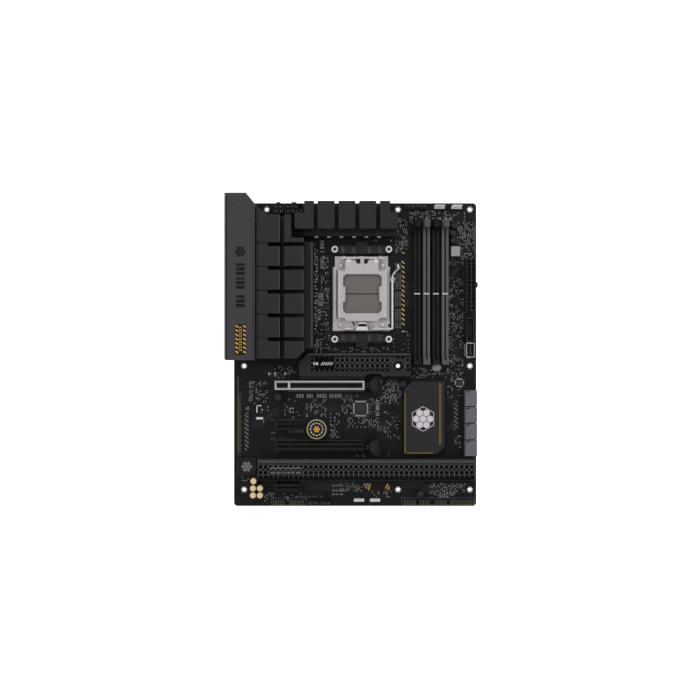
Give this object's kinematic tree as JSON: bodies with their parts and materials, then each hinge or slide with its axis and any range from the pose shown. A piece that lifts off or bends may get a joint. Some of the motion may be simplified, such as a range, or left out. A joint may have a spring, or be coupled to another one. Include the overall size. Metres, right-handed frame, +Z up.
{
  "type": "computer motherboard",
  "caption": "Full-size desktop computer mainboard with hinged processor socket, memory and expansion slots, finned power-stage heatsinks, drive heatsinks and a covered rear port row.",
  "frame": {"origin": "axis of the rear lower mounting hole, at the underside of the board", "axes": "+Z up from the board towards the components, +Y towards the processor end, +X away from the rear ports"},
  "size_m": [0.2489, 0.3085, 0.0428],
  "materials": {
    "board": "solder mask over glass laminate",
    "steel_plate": "zinc plated",
    "solder": "tinned",
    "screw_steel": "nickel plated",
    "socket_plastic": "moulded",
    "contact_field": "fine gold plated contacts in dark plastic",
    "socket_steel": "stamped",
    "lever_wire": "bright nickel",
    "bracket_plastic": "glossy moulding",
    "bright_screw": "bright zinc",
    "heatsink": "anodised, fine grain",
    "thermal_pad": "soft silicone",
    "choke": "pressed alloy",
    "chip": "epoxy",
    "black_can": "sleeved can",
    "gold_can": "gold sleeve, pale top",
    "cover": "fine texture",
    "shield_steel": "stamped",
    "port_steel": "nickel plated",
    "port_plastic": "moulded",
    "button": "moulded",
    "slot_black": "moulded",
    "slot_shield": "folded sheet",
    "latch_plastic": "moulded",
    "connector_black": "moulded",
    "port_grey": "moulded",
    "header_steel": "folded sheet",
    "gold_pin": "gold plated",
    "header_white": "moulded",
    "cell": "printed film over steel",
    "audio_cover": "satin",
    "slot_grey": "moulded"
  },
  "bodies": {
    "board": {"pcb": "board", "cpu_backplate": "steel_plate", "solder_tails": "solder", "heatsink_screws": "screw_steel", "socket_housing": "socket_plastic", "socket_contact_field": "contact_field", "socket_frame": "socket_steel", "socket_frame_screws": "screw_steel", "cooler_brackets": "bracket_plastic", "cooler_bracket_screws": "bright_screw", "vrm_heatsink_left": "heatsink", "vrm_heatsink_top": "heatsink", "vrm_thermal_pads": "thermal_pad", "power_chokes": "choke", "integrated_circuits": "chip", "board_capacitors": "black_can", "audio_capacitors": "gold_can", "io_cover": "cover", "io_shield": "shield_steel", "usb_stacks": "port_steel", "lan_usb_stack": "port_steel", "display_ports": "port_steel", "audio_jacks": "port_plastic", "bios_button_housing": "port_plastic", "pcie_x16_slot_upper": "slot_black", "pcie_x16_slot_lower": "slot_black", "pcie_x1_slots": "slot_black", "pcie_x16_shield": "slot_shield", "m2_sockets": "slot_black", "chipset_heatsink": "heatsink", "atx_power_connector": "connector_black", "eps_connectors": "connector_black", "sata_ports": "port_grey", "usb3_header": "connector_black", "usbc_header": "header_steel", "header_bases": "connector_black", "header_pins": "gold_pin", "argb_headers": "header_white", "coin_cell_holder": "connector_black", "audio_shield": "audio_cover", "dimm_slot_1": "slot_black", "dimm_slot_2": "slot_grey", "dimm_slot_3": "slot_black", "dimm_slot_4": "slot_grey"},
    "load_plate": {"load_plate": "socket_steel"},
    "load_lever": {"load_lever": "lever_wire"},
    "bios_button": {"bios_button": "button"},
    "coin_cell": {"coin_cell": "cell"},
    "m2_heatsink_upper": {"m2_heatsink_upper": "heatsink"},
    "m2_heatsink_lower": {"m2_heatsink_lower": "heatsink"},
    "pcie_x16_latch_upper": {"pcie_x16_latch_upper": "slot_black"},
    "pcie_x16_latch_lower": {"pcie_x16_latch_lower": "slot_black"},
    "dimm_latch_1": {"dimm_latch_1": "slot_black"},
    "dimm_latch_2": {"dimm_latch_2": "slot_grey"},
    "dimm_latch_3": {"dimm_latch_3": "slot_black"},
    "dimm_latch_4": {"dimm_latch_4": "slot_grey"},
    "m2_latch_1": {"m2_latch_1": "latch_plastic"},
    "m2_latch_2": {"m2_latch_2": "latch_plastic"},
    "m2_latch_3": {"m2_latch_3": "latch_plastic"}
  },
  "joints": [
    {"name": "load_plate_hinge", "type": "hinge", "parent": "board", "child": "load_plate", "pos_m": [0.11905, 0.2326, 0.0072], "axis": [-1, 0, 0], "range_deg": [0, 110]},
    {"name": "load_lever_hinge", "type": "hinge", "parent": "board", "child": "load_lever", "pos_m": [0.124, 0.1618, 0.0058], "axis": [1, 0, 0], "range_deg": [0, 115]},
    {"name": "bios_button_press", "type": "slide", "parent": "board", "child": "bios_button", "axis": [1, 0, 0], "range_m": [0, 0.0012], "stiffness_N_per_m": 200, "springref_m": -0.0005},
    {"name": "coin_cell_lift", "type": "slide", "parent": "board", "child": "coin_cell", "axis": [0, 0, 1], "range_m": [0, 0.02]},
    {"name": "m2_heatsink_upper_lift", "type": "slide", "parent": "board", "child": "m2_heatsink_upper", "axis": [0, 0, 1], "range_m": [0, 0.03]},
    {"name": "m2_heatsink_lower_lift", "type": "slide", "parent": "board", "child": "m2_heatsink_lower", "axis": [0, 0, 1], "range_m": [0, 0.03]},
    {"name": "pcie_x16_latch_upper_hinge", "type": "hinge", "parent": "board", "child": "pcie_x16_latch_upper", "pos_m": [0.1232, 0.1054, 0.0048], "axis": [0, 1, 0], "range_deg": [0, 18], "stiffness_Nm_per_rad": 0.05, "springref_deg": -2.86},
    {"name": "pcie_x16_latch_lower_hinge", "type": "hinge", "parent": "board", "child": "pcie_x16_latch_lower", "pos_m": [0.1232, 0.04444, 0.0048], "axis": [0, 1, 0], "range_deg": [0, 18], "stiffness_Nm_per_rad": 0.05, "springref_deg": -2.86},
    {"name": "dimm_latch_1_hinge", "type": "hinge", "parent": "board", "child": "dimm_latch_1", "pos_m": [0.1736, 0.2674, 0.0052], "axis": [-1, 0, 0], "range_deg": [0, 25]},
    {"name": "dimm_latch_2_hinge", "type": "hinge", "parent": "board", "child": "dimm_latch_2", "pos_m": [0.1829, 0.2674, 0.0052], "axis": [-1, 0, 0], "range_deg": [0, 25]},
    {"name": "dimm_latch_3_hinge", "type": "hinge", "parent": "board", "child": "dimm_latch_3", "pos_m": [0.1922, 0.2674, 0.0052], "axis": [-1, 0, 0], "range_deg": [0, 25]},
    {"name": "dimm_latch_4_hinge", "type": "hinge", "parent": "board", "child": "dimm_latch_4", "pos_m": [0.2015, 0.2674, 0.0052], "axis": [-1, 0, 0], "range_deg": [0, 25]},
    {"name": "m2_latch_1_turn", "type": "hinge", "parent": "board", "child": "m2_latch_1", "pos_m": [0.1454, 0.1254, 0.003], "axis": [0, 0, 1], "range_deg": [0, 90]},
    {"name": "m2_latch_2_turn", "type": "hinge", "parent": "board", "child": "m2_latch_2", "pos_m": [0.028, 0.0216, 0.003], "axis": [0, 0, 1], "range_deg": [0, 90]},
    {"name": "m2_latch_3_turn", "type": "hinge", "parent": "board", "child": "m2_latch_3", "pos_m": [0.1235, 0.0216, 0.003], "axis": [0, 0, 1], "range_deg": [0, 90]}
  ]
}
